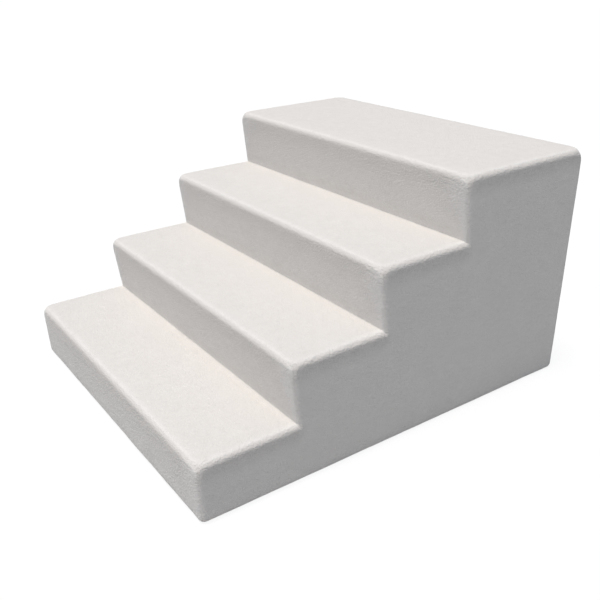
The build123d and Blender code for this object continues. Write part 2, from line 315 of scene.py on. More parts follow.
# %% [markdown]
# ## From a box to a soft block
# The stairs are easiest to lay out as upright boxes with sharp edges. A grid on a plain box face is
# then pulled towards a smaller box inside it, to one edge radius away, which rounds the edge. The
# grid lines near an edge are spaced by the tangent of equal angles, so that they end up evenly
# round the bend, and the corners come out without a pinched pole. Each face of the box is one panel
# of the cover, so two panels meet halfway round the bend, where the real seams are.

# %% Grid lines
ROUND_STEPS = 8
MESH_STEP = 0.005
CREASE_LINES = (0.0, 0.0012, 0.0026, 0.0044, 0.0068, 0.010, 0.014, 0.020)
CLOSEST_LINES = 1e-4
SAME_PLACE = 1e-6


def even(start, end, spacing=MESH_STEP):
    """Places from start to end at about that spacing."""
    count = max(2, int(round(abs(end - start) / spacing)) + 1)
    return list(np.linspace(start, end, count))


def round_in(corner, inward, radius=EDGE_RADIUS, steps=ROUND_STEPS):
    """Places from a box's corner to where its rounding ends, on the side that inward points to."""
    angles = np.linspace(math.pi / 4, 0, steps + 1)
    return [corner + inward * radius * (1 - math.tan(angle)) for angle in angles]


def beside(line, inward, distances=CREASE_LINES):
    """Fine places on one side of a crease, hem or seam."""
    return [line + inward * distance for distance in distances]


def joined(*runs):
    """One rising list of places, with no two closer than the closest lines."""
    places = sorted(place for run in runs for place in run)
    kept = [places[0]]
    for place in places[1:]:
        if place - kept[-1] > CLOSEST_LINES:
            kept.append(place)
    return np.array(kept)


print("lines round an edge:", len(round_in(0, 1)), "and on the flat every", MESH_STEP * 1000, "mm")

# %% From a flat grid to a rounded one
ALMOST_NONE = 1e-9


def grid(xs, ys, zs):
    """A grid of points on one face of a box: one of the three is a single place."""
    xs, ys, zs = (np.atleast_1d(np.asarray(places, float)) for places in (xs, ys, zs))
    points = np.stack(np.meshgrid(xs, ys, zs, indexing="ij"), axis=-1)
    flat = [size for size in points.shape[:3] if size > 1]
    return points.reshape(flat[0], flat[1], 3)


def pulled(points, pull):
    """Points one edge radius from their inner box, which is pull away from them, and normals."""
    length = np.linalg.norm(pull, axis=-1, keepdims=True)
    normals = pull / np.maximum(length, ALMOST_NONE)
    return points - pull + normals * EDGE_RADIUS, normals


bend = pulled(np.zeros((1, 3)), np.array([[1.0, 0.0, 1.0]]))[1][0]
print("halfway round a bend the normal is", bend.round(3))

# %% [markdown]
# ## Where three soft edges meet
# At an inner corner the rounded side edge of a tread runs into the rounded upright of the next
# riser. Two equal roundings cross on a diagonal line, so on both of them the grid is stretched a
# little until its last line is that diagonal.

# %% Rounded faces and inner corners
HAIR = 1e-7
NO_TREAD_BELOW = -1.0


def near(distance, reach=2 * EDGE_RADIUS):
    return np.clip(1 - distance / reach, 0, 1)


def face_surface(box_points, step, crease=None):
    """Soft surface of one face of a step's box; crease is "rear" on a tread and "foot" on a riser."""
    pull = np.zeros_like(box_points)
    x, y, z = (box_points[..., i] for i in range(3))
    limit = half_width - EDGE_RADIUS
    pull[..., 0] = x - np.clip(x, -limit, limit)
    pull[..., 1] = y - np.maximum(y, noses[step] + EDGE_RADIUS)
    if step == TOP:
        pull[..., 1] += y - np.minimum(y, back - EDGE_RADIUS)
    pull[..., 2] = z - np.clip(z, EDGE_RADIUS, levels[step] - EDGE_RADIUS)
    points, normals = pulled(box_points, pull)
    if crease == "rear":
        points[..., 1] += EDGE_RADIUS * (1 - normals[..., 2]) * near(noses[step + 1] - y)
    if crease == "foot":
        points[..., 2] -= EDGE_RADIUS * (1 + normals[..., 1]) * near(z - levels[step - 1])
    return points, normals


def side_surface(box_points, side):
    """Soft surface of a whole side, which has both outer and inner corners."""
    pull = np.zeros_like(box_points)
    pull[..., 0] = side * EDGE_RADIUS
    y, z = box_points[..., 1], box_points[..., 2]
    step = np.sum([y >= nose - SAME_PLACE for nose in noses[1:]], axis=0)
    behind = y - np.take(noses, step)
    above = z - np.take([NO_TREAD_BELOW] + levels, step)
    pull[..., 2] = np.maximum(EDGE_RADIUS - (np.take(levels, step) - z), 0)
    pull[..., 2] -= np.maximum(EDGE_RADIUS - z, 0)
    on_upright = (behind < EDGE_RADIUS) & (above >= -behind - HAIR)
    pull[..., 1] = np.where(on_upright, behind - EDGE_RADIUS, 0)
    pull[..., 1] += np.maximum(EDGE_RADIUS - (back - y), 0)
    under_tread = (behind < EDGE_RADIUS) & (above < -behind - HAIR)
    under_tread &= (above > -EDGE_RADIUS) & (step > 0)
    pull[..., 2] = np.where(under_tread, EDGE_RADIUS + above, pull[..., 2])
    points, normals = pulled(box_points, pull)
    for nose, level in zip(noses[1:], levels[:-1]):
        past, below = y - nose, level - z
        on_tread = (below >= 0) & (below < EDGE_RADIUS) & (past < below - HAIR)
        shift = EDGE_RADIUS * (1 - normals[..., 2]) - below
        points[..., 1] += np.where(on_tread, shift * near(below - past), 0)
        on_riser = (past >= -HAIR) & (past < EDGE_RADIUS) & (past >= below - HAIR)
        shift = EDGE_RADIUS * (1 + normals[..., 1]) - past
        points[..., 2] -= np.where(on_riser, shift * near(past - below), 0)
    return points, normals


sharp = np.array([[[0.0, front, rise]]])
lost = np.linalg.norm(face_surface(sharp, 0)[0] - sharp)
print("rounding takes", round(lost * 1000, 1), "mm off a sharp edge")

# %% [markdown]
# ## Blunt corners and risers that lean
# Two functions move all pieces alike, the foam as well as the plush. One presses in the upper
# corners, because stretched cloth blunts a corner more than an edge. The other leans every riser
# but the lowest back at its foot.

# %% Corners and lean
LEAN_REACH = 0.07
BLUNT_REACH = 0.024
BLUNT_DEPTH = 0.008
upper_corners = [(nose, 1, level) for nose, level in zip(noses, levels)] + [(back, -1, levels[TOP])]


def blunted(points):
    """The same points once each upper corner is pressed in towards the block's inside."""
    moved = points.copy()
    for side in (-1, 1):
        for y, way_back, z in upper_corners:
            away = np.linalg.norm(points - (side * half_width, y, z), axis=-1)
            press = BLUNT_DEPTH * np.clip(1 - away / BLUNT_REACH, 0, 1) ** 2
            moved += press[..., None] * np.array((-side, way_back, -1)) / math.sqrt(3)
    return moved


def leant(points):
    """The points of any piece once it is blunted and the risers lean, most of all at their feet."""
    moved = blunted(points)
    for nose, level in zip(noses[1:], levels[:-1]):
        foot = np.where(points[..., 2] >= level, 1 - (points[..., 2] - level) / rise,
                        1 - (level - points[..., 2]) / LEAN_REACH)
        around = 1 - np.abs(points[..., 1] - nose) / LEAN_REACH
        moved[..., 1] += RISER_LEAN * np.clip(foot, 0, 1) * np.clip(around, 0, 1)
    return moved


corner = np.array([[half_width, front, rise]])
print("a corner is pressed in by", round(np.linalg.norm(blunted(corner) - corner) * 1000, 1), "mm")

# %% [markdown]
# ## Cloth that is not quite flat
# Foam under stretched plush is nearly flat, but never exactly: a panel crowns a little between its
# seams, waves slightly, and turns in by a hair where it is sewn. These are added along the normal.
# The noise is Blender's own, which gives the same value for the same place on every run, so panels
# that share an edge still meet on it. In a crease three panels meet with three different normals, so
# there the unevenness fades out and leaves them on one point.

# %% Swell, waves and tucks
TUCK_WIDTH = 0.0016
TUCK_DEPTH = 0.00003
WAVE_SIZES = ((0.070, 0.00032), (0.020, 0.00014), (0.006, 0.00010))
FULL_ACROSS = 8


def noise_over(points, size):
    """Noise from -1 to 1 at each point, with lumps about that many metres across."""
    values = [noise.noise(Vector(point / size)) for point in points.reshape(-1, 3)]
    return np.array(values).reshape(points.shape[:-1])


def waves(points):
    """Small lasting unevenness of the cloth at each point, in metres."""
    return sum(height * noise_over(points, size) for size, height in WAVE_SIZES)


def tuck(distance, depth=TUCK_DEPTH, width=TUCK_WIDTH):
    """How far cloth turns in at that distance from its seam."""
    return -depth * np.clip(1 - np.abs(distance) / width, 0, 1) ** 2


def dome(places, start, end, power=4):
    """0 at both ends and 1 in the middle; a higher power stays full for longer."""
    middle, half = (start + end) / 2, (end - start) / 2
    return 1 - np.clip(np.abs(places - middle) / half, 0, 1) ** power


def swell(height, xs, places, start, end):
    """The crown of a panel that spans the whole width, and the other way from start to end."""
    return height * dome(xs, -half_width, half_width, FULL_ACROSS) * dome(places, start, end)


def from_side(xs):
    """How far each place is from the nearer side of the block."""
    return half_width - np.abs(xs)


print("the waves are at most", sum(height for _, height in WAVE_SIZES) * 1000, "mm high")

# %% [markdown]
# ## Painted highlight and shade near an edge
# This is the number of painted light and shade that the plush reads. It rises for a painted highlight
# on an edge and falls below zero for painted shade under one.

# %% Painted highlight and shade at an edge
CREST_PLACE = 0.006
UNDER_PLACE = 0.011
UNDER_REACH = 0.036


def painted_edge_highlight(distance):
    """How much painted highlight lies at that distance from an edge, on top of it."""
    return np.clip(1 - np.abs(distance - CREST_PLACE) / CREST_PLACE, 0, 1)


def painted_shade_below_edge(distance):
    """How much painted shade lies at that distance below an edge, as a negative number."""
    return -np.interp(distance, (0, UNDER_PLACE, UNDER_REACH), (0, 1, 0), right=0)


print("palest", CREST_PLACE * 1000, "mm from an edge, darkest", UNDER_PLACE * 1000, "mm below it")

# %% [markdown]
# ## A panel as a closed piece of cloth
# A panel is made of patches that share their borders. They are welded into one sheet and settled by
# a short cloth simulation: the sheet is held along its seams, pressed out from inside by the foam
# and given a trace of slack, so that it crowns and puckers as real cloth does. Thick plush can't hold
# a crease finer than itself, so the movement is evened out between neighbours. Then it gets a second
# face one cloth's thickness further in and a closed rim, which keeps it a solid mesh that could be
# cut, printed or weighed, and not just a skin.

# %% Settle a sheet
SETTLE_FRAMES = 14
SETTLE_CAP = 0.0016
SEAM_HOLD = 0.012
SMOOTH_ROUNDS = 24
CLOTH_FEEL = {
    "quality": 4, "mass": 0.25, "tension_stiffness": 25, "compression_stiffness": 25,
    "shear_stiffness": 10, "bending_stiffness": 2.5, "shrink_min": -0.004,
    "use_pressure": True, "uniform_pressure_force": 0.9, "vertex_group_mass": "hold",
}


def placed(name, data):
    """A new object in the scene."""
    item = bpy.data.objects.new(name, data)
    bpy.context.collection.objects.link(item)
    return item


def meshed(name, mesh):
    """A new object in the scene from a mesh under construction."""
    data = bpy.data.meshes.new(name)
    mesh.to_mesh(data)
    return placed(name, data)


def settled(mesh, name):
    """Run cloth on the sheet, held at its rim, and move its points by what that finds, capped."""
    sheet = meshed(name, mesh)
    start = np.array([vertex.co for vertex in mesh.verts])
    rim = np.array([vertex.co for vertex in mesh.verts if vertex.is_boundary])
    tree = KDTree(len(rim))
    for index, place in enumerate(rim):
        tree.insert(place, index)
    tree.balance()
    away = np.array([tree.find(place)[2] for place in start])
    hold = sheet.vertex_groups.new(name="hold")
    for index, distance in enumerate(away):
        hold.add([index], float(np.clip(1 - distance / SEAM_HOLD, 0, 1) ** 2), "REPLACE")
    cloth = sheet.modifiers.new("settle", "CLOTH")
    for setting, value in CLOTH_FEEL.items():
        setattr(cloth.settings, setting, value)
    cloth.settings.effector_weights.gravity = 0
    cloth.collision_settings.use_collision = False
    for frame_number in range(1, SETTLE_FRAMES + 1):
        bpy.context.scene.frame_set(frame_number)
    shaped = sheet.evaluated_get(bpy.context.evaluated_depsgraph_get()).data
    moved = np.array([vertex.co for vertex in shaped.vertices]) - start
    bpy.context.scene.frame_set(1)
    bpy.data.objects.remove(sheet)
    ends = np.array([[vertex.index for vertex in edge.verts] for edge in mesh.edges])
    free = np.clip(away / SEAM_HOLD, 0, 1)[:, None]
    links = np.bincount(ends.ravel(), minlength=len(start))[:, None]
    for _ in range(SMOOTH_ROUNDS):
        around = np.zeros_like(moved)
        np.add.at(around, ends[:, 0], moved[ends[:, 1]])
        np.add.at(around, ends[:, 1], moved[ends[:, 0]])
        moved = (moved + around / links) / 2 * free
    reach = np.linalg.norm(moved, axis=1, keepdims=True)
    moved *= np.tanh(reach / SETTLE_CAP) * SETTLE_CAP / np.maximum(reach, ALMOST_NONE)
    for vertex, step in zip(mesh.verts, moved):
        vertex.co += Vector(step)
    found, kept = reach.max() * 1000, np.abs(moved).max() * 1000
    print(f"{name}: cloth moved by up to {found:.1f} mm, kept to {kept:.1f} mm")


print("settling may move a point by", SETTLE_CAP * 1000, "mm")

# %% Close a sheet into cloth
WELD = 2e-5


def fill_grid(mesh, rows):
    """Four-sided faces between the rows of a grid of points."""
    for row, after in zip(rows, rows[1:]):
        for column in range(len(row) - 1):
            mesh.faces.new([row[column], after[column], after[column + 1], row[column + 1]])


def cloth_piece(name, patches, material, settle=True):
    """Weld patches of (points, inward offsets, painted light and shade) and close them into one piece
    of cloth.
    """
    mesh = bmesh.new()
    inward = mesh.verts.layers.float_vector.new("inward")
    painted_shading_layer = mesh.verts.layers.float.new("painted_shading")
    for points, offsets, painted_shading in patches:
        rows = [[mesh.verts.new(point) for point in row] for row in points]
        for index in np.ndindex(painted_shading.shape):
            vertex = rows[index[0]][index[1]]
            vertex[inward] = Vector(offsets[index])
            vertex[painted_shading_layer] = painted_shading[index]
        fill_grid(mesh, rows)
    bmesh.ops.remove_doubles(mesh, verts=mesh.verts, dist=WELD)
    for face in mesh.faces:
        face.normal_update()
        if face.normal.dot(sum((vertex[inward] for vertex in face.verts), Vector())) > 0:
            face.normal_flip()
    mesh.verts.index_update()
    if settle:
        settled(mesh, name + "_settling")
    for vertex in mesh.verts:
        vertex.co.z = max(vertex.co.z, 0.0)
    outer = list(mesh.faces)
    rim = [(*edge.verts, edge.link_loops[0]) for edge in mesh.edges if edge.is_boundary]
    under = {vertex: mesh.verts.new(vertex.co + vertex[inward]) for vertex in list(mesh.verts)}
    for face in outer:
        mesh.faces.new([under[vertex] for vertex in reversed(face.verts)])
    for first, second, loop in rim:
        if loop.vert == first:
            first, second = second, first
        closing = mesh.faces.new([first, second, under[second], under[first]])
        for edge in closing.edges:
            edge.smooth = False
    return piece_from(mesh, name, material)


def piece_from(mesh, name, material):
    """A smooth object from a finished mesh, with its material and slot, that moves with the stairs."""
    for face in mesh.faces:
        face.smooth = True
    piece = meshed(name, mesh)
    mesh.free()
    piece.data.materials.append(material)
    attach(piece, "stairs")
    return piece


print("borders are welded within", WELD * 1000, "mm")

# %% Patches of plush
CALM_WITHIN, CALM_REACH = 0.004, 0.008


def plush_patch(points, normals, lift, thickness=PANEL_THICKNESS, painted_shading=0.0):
    """Points lifted along their normals and leant, the way in to the back of the cloth, and the painted
    light and shade.
    """
    from_crease = np.min([np.hypot(points[..., 1] - nose, points[..., 2] - level)
                          for nose, level in zip(noses[1:], levels)], axis=0)
    calm = np.clip((from_crease - CALM_WITHIN) / CALM_REACH, 0, 1)
    raised = points + normals * ((lift + waves(points)) * calm)[..., None]
    outer = leant(raised)
    inner = leant(raised - normals * np.asarray(thickness)[..., None])
    return outer, inner - outer, np.broadcast_to(painted_shading, lift.shape)


def turned_under(xs, ys, step, lift=0.0):
    """The strip of a panel that turns under the block, to the seam of the base cloth."""
    points, normals = face_surface(grid(xs, ys, 0.0), step)
    return plush_patch(points, normals, np.broadcast_to(lift, points.shape[:2]))


print("no waves within", CALM_WITHIN * 1000, "mm of a crease")

# %% [markdown]
# ## Tread panels
# A tread panel covers its pad and ends halfway round the nose and both side edges. At the back it
# runs into the crease below the next riser, or round the rear edge on the top step.

# %% What all panels need
SLABS = ("foam_base", "foam_second", "foam_third", "foam_top")
PADS = tuple(f"foam_pad_{step + 1}" for step in range(STEP_COUNT))
flat_half = half_width - EDGE_RADIUS
across = joined(round_in(-half_width, 1), even(-flat_half, flat_half), round_in(half_width, -1))


def stretched_over(piece, node):
    """Hide the solid that a panel stands for, and print how many faces the panel has."""
    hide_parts(node)
    print(piece.name, len(piece.data.polygons), "faces")


print("grid lines across the flight:", len(across))

# %% Treads
CROWN = 0.0009
# painted shade towards a crease: how dark at the crease and how far it reaches
CREASE_SHADE = 0.24
CREASE_REACH = 0.080

for step in range(STEP_COUNT):
    rear = back if step == TOP else noses[step + 1]
    inner_front, inner_rear = noses[step] + EDGE_RADIUS, rear - EDGE_RADIUS
    rear_lines = round_in(rear, -1) if step == TOP else beside(rear, -1)
    ys = joined(round_in(noses[step], 1), even(inner_front, inner_rear), rear_lines)
    box_points = grid(across, ys, levels[step])
    x, y = box_points[..., 0], box_points[..., 1]
    points, normals = face_surface(box_points, step, "rear" if step < TOP else None)
    lift = tuck(from_side(x)) + tuck(y - noses[step]) + tuck(rear - y)
    lift += swell(CROWN, x, y, noses[step], rear)
    # painted highlight along the nose and the side edges, and painted shade towards the crease
    painted_shading = painted_edge_highlight(np.minimum(from_side(x), y - noses[step]))
    if step < TOP:
        painted_shading = painted_shading - CREASE_SHADE * near(rear - y, CREASE_REACH)
    piece = cloth_piece(f"plush_tread_{step + 1}", [plush_patch(points, normals, lift, painted_shading=painted_shading)], plush)
    stretched_over(piece, f"tread_panel_{step + 1}")

# %% [markdown]
# ## Riser panels
# A riser panel is the front of a step, between the two upright corners. The lowest one turns under
# the block and ends at the seam of the base cloth, and the others stand in a crease. A riser gets
# painted light, a paler colour, towards its foot and its upright edges.

# %% Risers
# painted shade below the nose, and painted light at the foot and near the upright edges
RISER_PAINTED_SHADE = 0.5
FOOT_PAINTED_LIGHT = 0.95
FOOT_REACH = 0.070
UPRIGHT_PAINTED_LIGHT = 1.1
UPRIGHT_REACH = 0.045

for step in range(STEP_COUNT):
    low, high = (levels[step - 1] if step else 0.0), levels[step]
    foot_lines = beside(low, 1) if step else round_in(low, 1)
    zs = joined(foot_lines, even(low + EDGE_RADIUS, high - EDGE_RADIUS), round_in(high, -1))
    box_points = grid(across, noses[step], zs)
    x, z = box_points[..., 0], box_points[..., 2]
    points, normals = face_surface(box_points, step, "foot" if step else None)
    lift = tuck(from_side(x)) + tuck(high - z)
    if step:
        lift += tuck(z - low)
    lift += swell(CROWN / 2, x, z, low, high)
    # painted light near the upright edges and at the foot, and painted shade below the nose
    painted_light = UPRIGHT_PAINTED_LIGHT * np.interp(from_side(x), (0, CREST_PLACE, UPRIGHT_REACH), (0, 1, 0))
    foot = FOOT_PAINTED_LIGHT * near(z - low, FOOT_REACH)
    painted_light = np.maximum(painted_light, foot * np.clip(from_side(x) / CREST_PLACE, 0, 1))
    painted_shading = RISER_PAINTED_SHADE * painted_shade_below_edge(high - z) + painted_light
    patches = [plush_patch(points, normals, lift, painted_shading=painted_shading)]
    length = high - low
    if step == 0:
        under_ys = joined(round_in(front, 1), [front + base_seam])
        patches.append(turned_under(across, under_ys, step, tuck(from_side(across))[:, None]))
        length += base_seam
    piece = cloth_piece(f"plush_riser_{step + 1}", patches, plush)
    stretched_over(piece, f"riser_panel_{step + 1}")

# %% [markdown]
# ## Side panels
# Each side is one piece that follows the stepped profile and turns under to the base. Its grid is
# cut from a rectangle: a cell stays when its middle is inside the profile. A side is the flattest
# panel and its fine grid lines are close together below each nose, where settling would leave
# stripes, so it is shaped by its swell and waves alone, and so is the back, which the zip holds flat.

# %% Grid of a side and the seam round it
def snapped(places, exact):
    """The same places, with the nearest one moved onto each exact value."""
    for value in exact:
        places[np.argmin(np.abs(places - value))] = value
    return places


def outside(places, end, other_end):
    """How far each place is from a stretch between two ends, 0 within it."""
    return np.maximum(np.maximum(min(end, other_end) - places, places - max(end, other_end)), 0)


def profile_seam(y, z):
    """How far each point of a side is from the seam along the stepped profile."""
    corners = [(front, 0.0)]
    for nose, level in zip(noses, levels):
        corners += [(nose, corners[-1][1]), (nose, level)]
    corners += [(back, levels[TOP]), (back, 0.0)]
    return np.min([np.hypot(outside(y, y0, y1), outside(z, z0, z1))
                   for (y0, z0), (y1, z1) in zip(corners, corners[1:])], axis=0)


side_ys = joined(even(front + EDGE_RADIUS, back - EDGE_RADIUS), round_in(back, -1),
                 *[round_in(nose, 1) for nose in noses], *[beside(nose, -1) for nose in noses[1:]])
side_zs = joined(round_in(0, 1), even(EDGE_RADIUS, levels[TOP] - EDGE_RADIUS),
                 *[round_in(level, -1) for level in levels],
                 *[beside(level, 1) for level in levels[:-1]])
side_ys, side_zs = snapped(side_ys, noses + [back]), snapped(side_zs, levels + [0.0])

# %% Sides
SIDE_SWELL_REACH = 0.080
SIDE_SWELL_CURVE = 0.7
# strength of the painted shade below the treads' open edges, on the sides and the back
SIDE_AND_BACK_PAINTED_SHADE = 0.8


def cut(patch, rows, columns):
    """The part of a patch between some of its grid lines."""
    return tuple(values[slice(*rows), slice(*columns)] for values in patch)


def painted_shade_under_treads(y, z):
    """How much painted shade a side gets below the open edges of the treads."""
    shading = np.zeros(y.shape)
    for nose, rear, level in zip(noses, noses[1:] + [back], levels):
        beside_tread = near(outside(y, nose, rear), UNDER_REACH / 2)
        shading = np.minimum(shading, painted_shade_below_edge(level - z) * beside_tread)
    return shading


for end, side in [("left", -1), ("right", 1)]:
    box_points = grid(side * half_width, side_ys, side_zs)
    y, z = box_points[..., 1], box_points[..., 2]
    points, normals = side_surface(box_points, side)
    seam = profile_seam(y, z)
    bulge = np.clip(seam / SIDE_SWELL_REACH, 0, 1) ** SIDE_SWELL_CURVE
    lift = tuck(seam) + CROWN * bulge * np.clip(z / SIDE_SWELL_REACH, 0, 1)
    # painted shade below the open edges of the treads
    painted_shading = SIDE_AND_BACK_PAINTED_SHADE * painted_shade_under_treads(y, z)
    whole = plush_patch(points, normals, lift, painted_shading=painted_shading)
    patches = []
    for row in range(len(side_ys) - 1):
        middle = (side_ys[row] + side_ys[row + 1]) / 2
        step = max(index for index in range(STEP_COUNT) if noses[index] < middle)
        height = int(np.argmin(np.abs(side_zs - levels[step]))) + 1
        patches.append(cut(whole, (row, row + 2), (0, height)))
    rows = (side_ys >= front + base_seam - SAME_PLACE) & (side_ys <= back - base_seam + SAME_PLACE)
    xs = side * joined(round_in(half_width, -1), [half_width - base_seam])
    patches.append(turned_under(xs, side_ys[rows], 0))
    piece = cloth_piece(f"plush_side_{end}", patches, plush, settle=False)
    stretched_over(piece, f"side_panel_{end}")

# %% [markdown]
# ## The back and its slit
# The back is two panels that meet at the height of the zip. Between them a slit shows the chain. Its
# edges are hems: the plush is folded in, pressed thin over the tape and held by a row of stitches,
# which pulls a shallow channel into the pile.

# %% Where the slit is
tape_low, tape_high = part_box("zip_tape_lower"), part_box("zip_tape_upper")
zip_height = (tape_low[0].z + tape_high[1].z) / 2
SLIT_HALF_HEIGHT = 0.008
SLIT_HALF_LENGTH = 0.284
TAPE_MARGIN = 0.0006
HEM_FOLD = 0.0022
HEM_DIP = 0.0006
HEM_OFF_TAPE = 0.0002
STITCH_INSET = 0.0052
STITCH_CHANNEL = 0.0004
CHANNEL_WIDTH = 0.0014
HEM_LINES = (0.0, 0.0004, 0.0009, 0.0015, 0.0022, 0.0032, 0.0044, 0.0052, 0.0060, 0.0072, 0.009)
hem_thickness = back - tape_low[1].y - HEM_DIP - HEM_OFF_TAPE

slit_ends = [-SLIT_HALF_LENGTH, SLIT_HALF_LENGTH]
end_lines = [beside(end, way, HEM_LINES) for end in slit_ends for way in (-1, 1)]
back_xs = snapped(joined(across, *end_lines), slit_ends)
slit_low, slit_high = zip_height - SLIT_HALF_HEIGHT, zip_height + SLIT_HALF_HEIGHT


def from_slit(x, z):
    """How far each point of the back is from the edge of the slit."""
    return np.hypot(outside(x, *slit_ends), outside(z, slit_low, slit_high))


print(f"slit from {slit_low:.3f} to {slit_high:.3f} m up, its hem {hem_thickness * 1000:.1f} mm thick")

# %% Back panels
def back_patches(zs, wrap):
    """The back between two heights, without the slit, and the strip turned under if wrap is set."""
    box_points = grid(back_xs, back, zs)
    points, normals = face_surface(box_points, TOP)
    x, z = box_points[..., 0], box_points[..., 2]
    edge = from_slit(x, z)
    lift = -HEM_DIP * np.clip(1 - edge / HEM_FOLD, 0, 1) ** 2 + tuck(from_side(x))
    lift += tuck(edge - STITCH_INSET, STITCH_CHANNEL, CHANNEL_WIDTH)
    off_tape = outside(x, tape_low[0].x, tape_low[1].x), outside(z, tape_low[0].z, tape_high[1].z)
    over_tape = np.maximum(*off_tape) < TAPE_MARGIN
    thickness = np.where(over_tape, hem_thickness, PANEL_THICKNESS)
    lift += swell(CROWN / 2, x, z, slit_high, levels[TOP]) * (z > slit_high)
    # painted shade below the top rear edge
    painted_shading = SIDE_AND_BACK_PAINTED_SHADE * painted_shade_below_edge(levels[TOP] - z)
    whole = plush_patch(points, normals, lift, thickness, painted_shading)
    left, right = (int(np.argmin(np.abs(back_xs - end))) for end in slit_ends)
    patches = []
    for column in range(len(zs) - 1):
        beside_slit = slit_low < (zs[column] + zs[column + 1]) / 2 < slit_high
        runs = [(0, left + 1), (right, len(back_xs))] if beside_slit else [(0, len(back_xs))]
        patches += [cut(whole, run, (column, column + 2)) for run in runs]
    if wrap:
        under_ys = joined(round_in(back, -1), [back - base_seam])
        patches.append(turned_under(back_xs, under_ys, TOP))
    return patches


low_zs = snapped(joined(round_in(0, 1), even(EDGE_RADIUS, slit_low), beside(slit_low, -1, HEM_LINES),
                        even(slit_low, zip_height)), [slit_low])
high_zs = snapped(joined(even(zip_height, slit_high), beside(slit_high, 1, HEM_LINES),
                         even(slit_high, levels[TOP] - EDGE_RADIUS), round_in(levels[TOP], -1)),
                  [slit_high])
back_halves = [
    ("lower", low_zs, zip_height + base_seam, ["zip_tape_lower", SLABS[0]]),
    ("upper", high_zs, levels[TOP] - zip_height, ["zip_tape_upper", *SLABS, PADS[TOP]]),
]
for half, zs, length, rests in back_halves:
    piece = cloth_piece(f"plush_back_{half}", back_patches(zs, half == "lower"), plush, settle=False)
    stretched_over(piece, f"back_panel_{half}")

# %% Stitches beside the slit
STITCH_LENGTH = 0.0028
STITCH_PITCH = 0.0040
STITCH_RADIUS = 0.00032
STITCH_END_WIDTH = 0.12
STITCH_RINGS, STITCH_SIDES = 7, 6


def turned(mesh, axis, rings, sides):
    """A closed round body of rings, each a (middle, radius), which all lie across one axis."""
    across_it = axis.orthogonal().normalized()
    third = axis.cross(across_it)
    turns = np.linspace(0, 2 * math.pi, sides, endpoint=False)
    loops = [[mesh.verts.new(middle + (across_it * math.cos(turn) + third * math.sin(turn)) * radius)
              for turn in turns] for middle, radius in rings]
    fill_grid(mesh, [loop + loop[:1] for loop in loops])
    mesh.faces.new(list(reversed(loops[0])))
    mesh.faces.new(loops[-1])


def stitch_rings(start):
    """A short capsule along X, as rings that swell and shrink."""
    for share in np.linspace(0, 1, STITCH_RINGS):
        width = max(math.sin(math.pi * share), STITCH_END_WIDTH) ** 0.5
        yield start + Vector((STITCH_LENGTH * share, 0, 0)), STITCH_RADIUS * width


stitches = bmesh.new()
for row_z in (slit_low - STITCH_INSET, slit_high + STITCH_INSET):
    for x in np.arange(*slit_ends, STITCH_PITCH):
        y = back - STITCH_CHANNEL + STITCH_RADIUS / 2 + waves(np.array([x, back, row_z]))
        turned(stitches, Vector((1, 0, 0)), stitch_rings(Vector((x, y, row_z))), STITCH_SIDES)
bmesh.ops.recalc_face_normals(stitches, faces=stitches.faces)
stitching = piece_from(stitches, "zip_stitches", thread)
print("stitches:", len(stitching.data.polygons), "faces")

# %% [markdown]
# ## Zip tapes
# Two woven tapes carry the chain. They ripple by less than a tenth of a millimetre, because the
# stitches hold them flat and the slider needs its room.

# %% Tapes
TAPE_RIPPLE = 0.00008
RIPPLE_SIZE = 0.012
TAPE_STEP_ALONG, TAPE_STEP_ACROSS = 0.004, 0.0015


def flat_patch(points, way_in, thickness):
    """A patch of plain cloth with one way in to its back, for cloth_piece."""
    offsets = np.broadcast_to(np.array(way_in) * thickness, points.shape)
    return points, offsets, np.zeros(points.shape[:2])


for half, (low, high) in [("upper", tape_high), ("lower", tape_low)]:
    points = grid(even(low.x, high.x, TAPE_STEP_ALONG), high.y, even(low.z, high.z, TAPE_STEP_ACROSS))
    points[..., 1] += TAPE_RIPPLE * noise_over(points, RIPPLE_SIZE)
    patch = flat_patch(points, (0, -1, 0), high.y - low.y)
    piece = cloth_piece(f"zip_tape_cloth_{half}", [patch], tape_cloth, settle=False)
    stretched_over(piece, f"zip_tape_{half}")

# %% [markdown]
# ## Base cloth
# The base is a stout woven cloth with rows of small rubber dots that grip the floor. The dots touch
# the floor, and the cloth lies one dot's height above it.

# %% Base and dots
DOT_RADIUS = 0.0024
DOT_HEIGHT = 0.0010
DOT_PITCH = 0.022
DOT_PROFILE = ((0.0, 1.0), (0.6, 0.86), (1.0, 0.45))
DOT_SIDES = 8
ROW_SHIFT = 0.25
BASE_STEP = 0.012
base_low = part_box("base_panel")[0]
base_width, base_depth = base_high.x - base_low.x, base_high.y - base_low.y
points = grid(even(base_low.x, base_high.x, BASE_STEP), even(base_low.y, base_high.y, BASE_STEP),
              DOT_HEIGHT)
patch = flat_patch(points, (0, 0, 1), base_high.z - DOT_HEIGHT)
base = cloth_piece("base_cloth", [patch], base_cloth, settle=False)
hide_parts("base_panel")

dots = bmesh.new()
columns, rows = int(base_width / DOT_PITCH), int(base_depth / DOT_PITCH)
for column in range(columns):
    for row in range(rows):
        shift = ROW_SHIFT if row % 2 else -ROW_SHIFT
        middle = Vector((column - (columns - 1) / 2 + shift, row - (rows - 1) / 2, 0)) * DOT_PITCH
        rings = [(middle + Vector((0, 0, DOT_HEIGHT * (1 - height))), DOT_RADIUS * share)
                 for height, share in DOT_PROFILE]
        turned(dots, Vector((0, 0, -1)), rings, DOT_SIDES)
bmesh.ops.recalc_face_normals(dots, faces=dots.faces)
grip_dots = piece_from(dots, "grip_dots", dot_rubber)
print("dots:", columns * rows)

